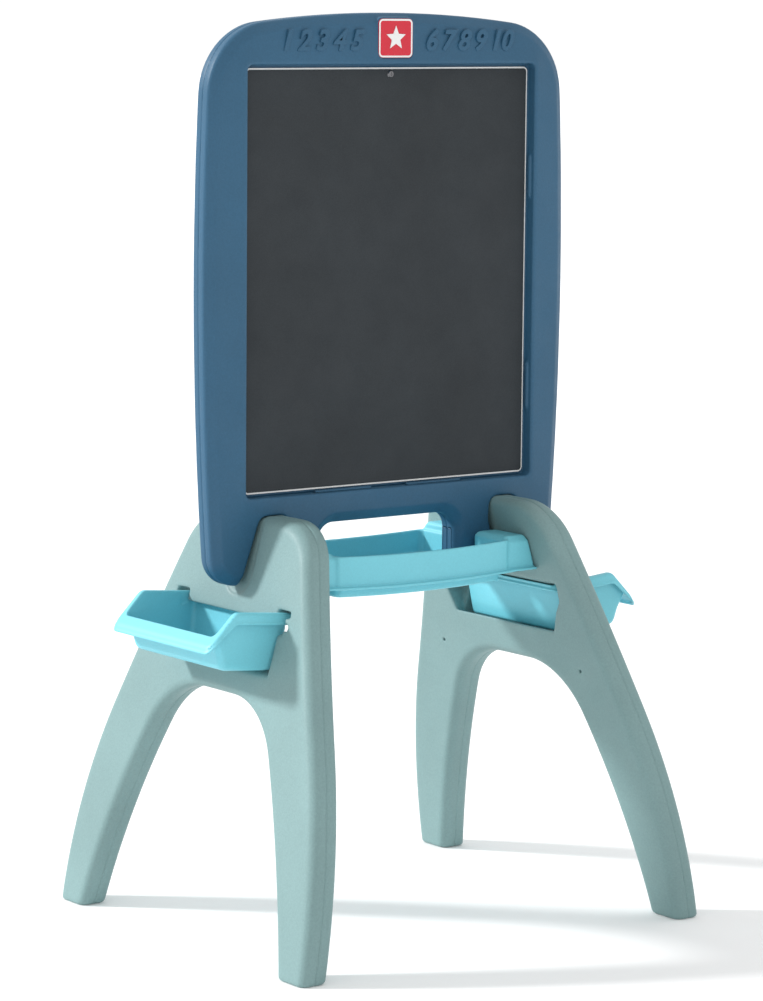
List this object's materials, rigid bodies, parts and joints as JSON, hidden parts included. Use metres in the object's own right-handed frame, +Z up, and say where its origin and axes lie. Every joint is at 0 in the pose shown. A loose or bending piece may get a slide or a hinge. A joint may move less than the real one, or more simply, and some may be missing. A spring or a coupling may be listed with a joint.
{
  "type": "kids easel",
  "caption": "Double-sided kids easel: a framed chalkboard and dry-erase board standing on two arched leg frames, with a tray below the board and a tray on each side.",
  "frame": {"origin": "on the floor under the middle of the easel", "axes": "+X to the right of someone facing the chalkboard, -Y out of the chalkboard towards that person, +Z up"},
  "size_m": [0.656, 0.534, 1.116],
  "materials": {
    "blue_plastic": "satin, finely textured polyethylene",
    "sage_plastic": "satin, finely textured polyethylene",
    "aqua_plastic": "satin polyethylene",
    "panel_backing": "white hardboard edge",
    "chalkboard_skin": "matt chalkboard surface",
    "dry_erase_skin": "glossy white dry-erase surface",
    "screw_steel": "blackened steel",
    "badge_red": "glossy label",
    "badge_white": "glossy label"
  },
  "bodies": {
    "board": {"board_frame": "blue_plastic", "centre_tray": "aqua_plastic", "front_backing": "panel_backing", "chalkboard_sheet": "chalkboard_skin", "back_backing": "panel_backing", "dry_erase_sheet": "dry_erase_skin", "front_panel_screw": "screw_steel", "back_panel_screw": "screw_steel", "front_badge": "badge_red", "front_badge_emblem": "badge_white", "back_badge": "badge_red", "back_badge_emblem": "badge_white"},
    "left_leg": {"left_leg_frame": "sage_plastic"},
    "right_leg": {"right_leg_frame": "sage_plastic"},
    "left_tray": {"left_side_tray": "aqua_plastic"},
    "right_tray": {"right_side_tray": "aqua_plastic"}
  },
  "joints": [
    {"name": "left_leg_slide", "type": "slide", "parent": "board", "child": "left_leg", "axis": [-0.2874, 0, -0.9578], "range_m": [0, 0.11]},
    {"name": "right_leg_slide", "type": "slide", "parent": "board", "child": "right_leg", "axis": [0.2874, 0, -0.9578], "range_m": [0, 0.11]},
    {"name": "left_tray_slide", "type": "slide", "parent": "left_leg", "child": "left_tray", "axis": [-0.9438, 0, -0.3305], "range_m": [0, 0.15]},
    {"name": "right_tray_slide", "type": "slide", "parent": "right_leg", "child": "right_tray", "axis": [0.9438, 0, -0.3305], "range_m": [0, 0.15]}
  ]
}
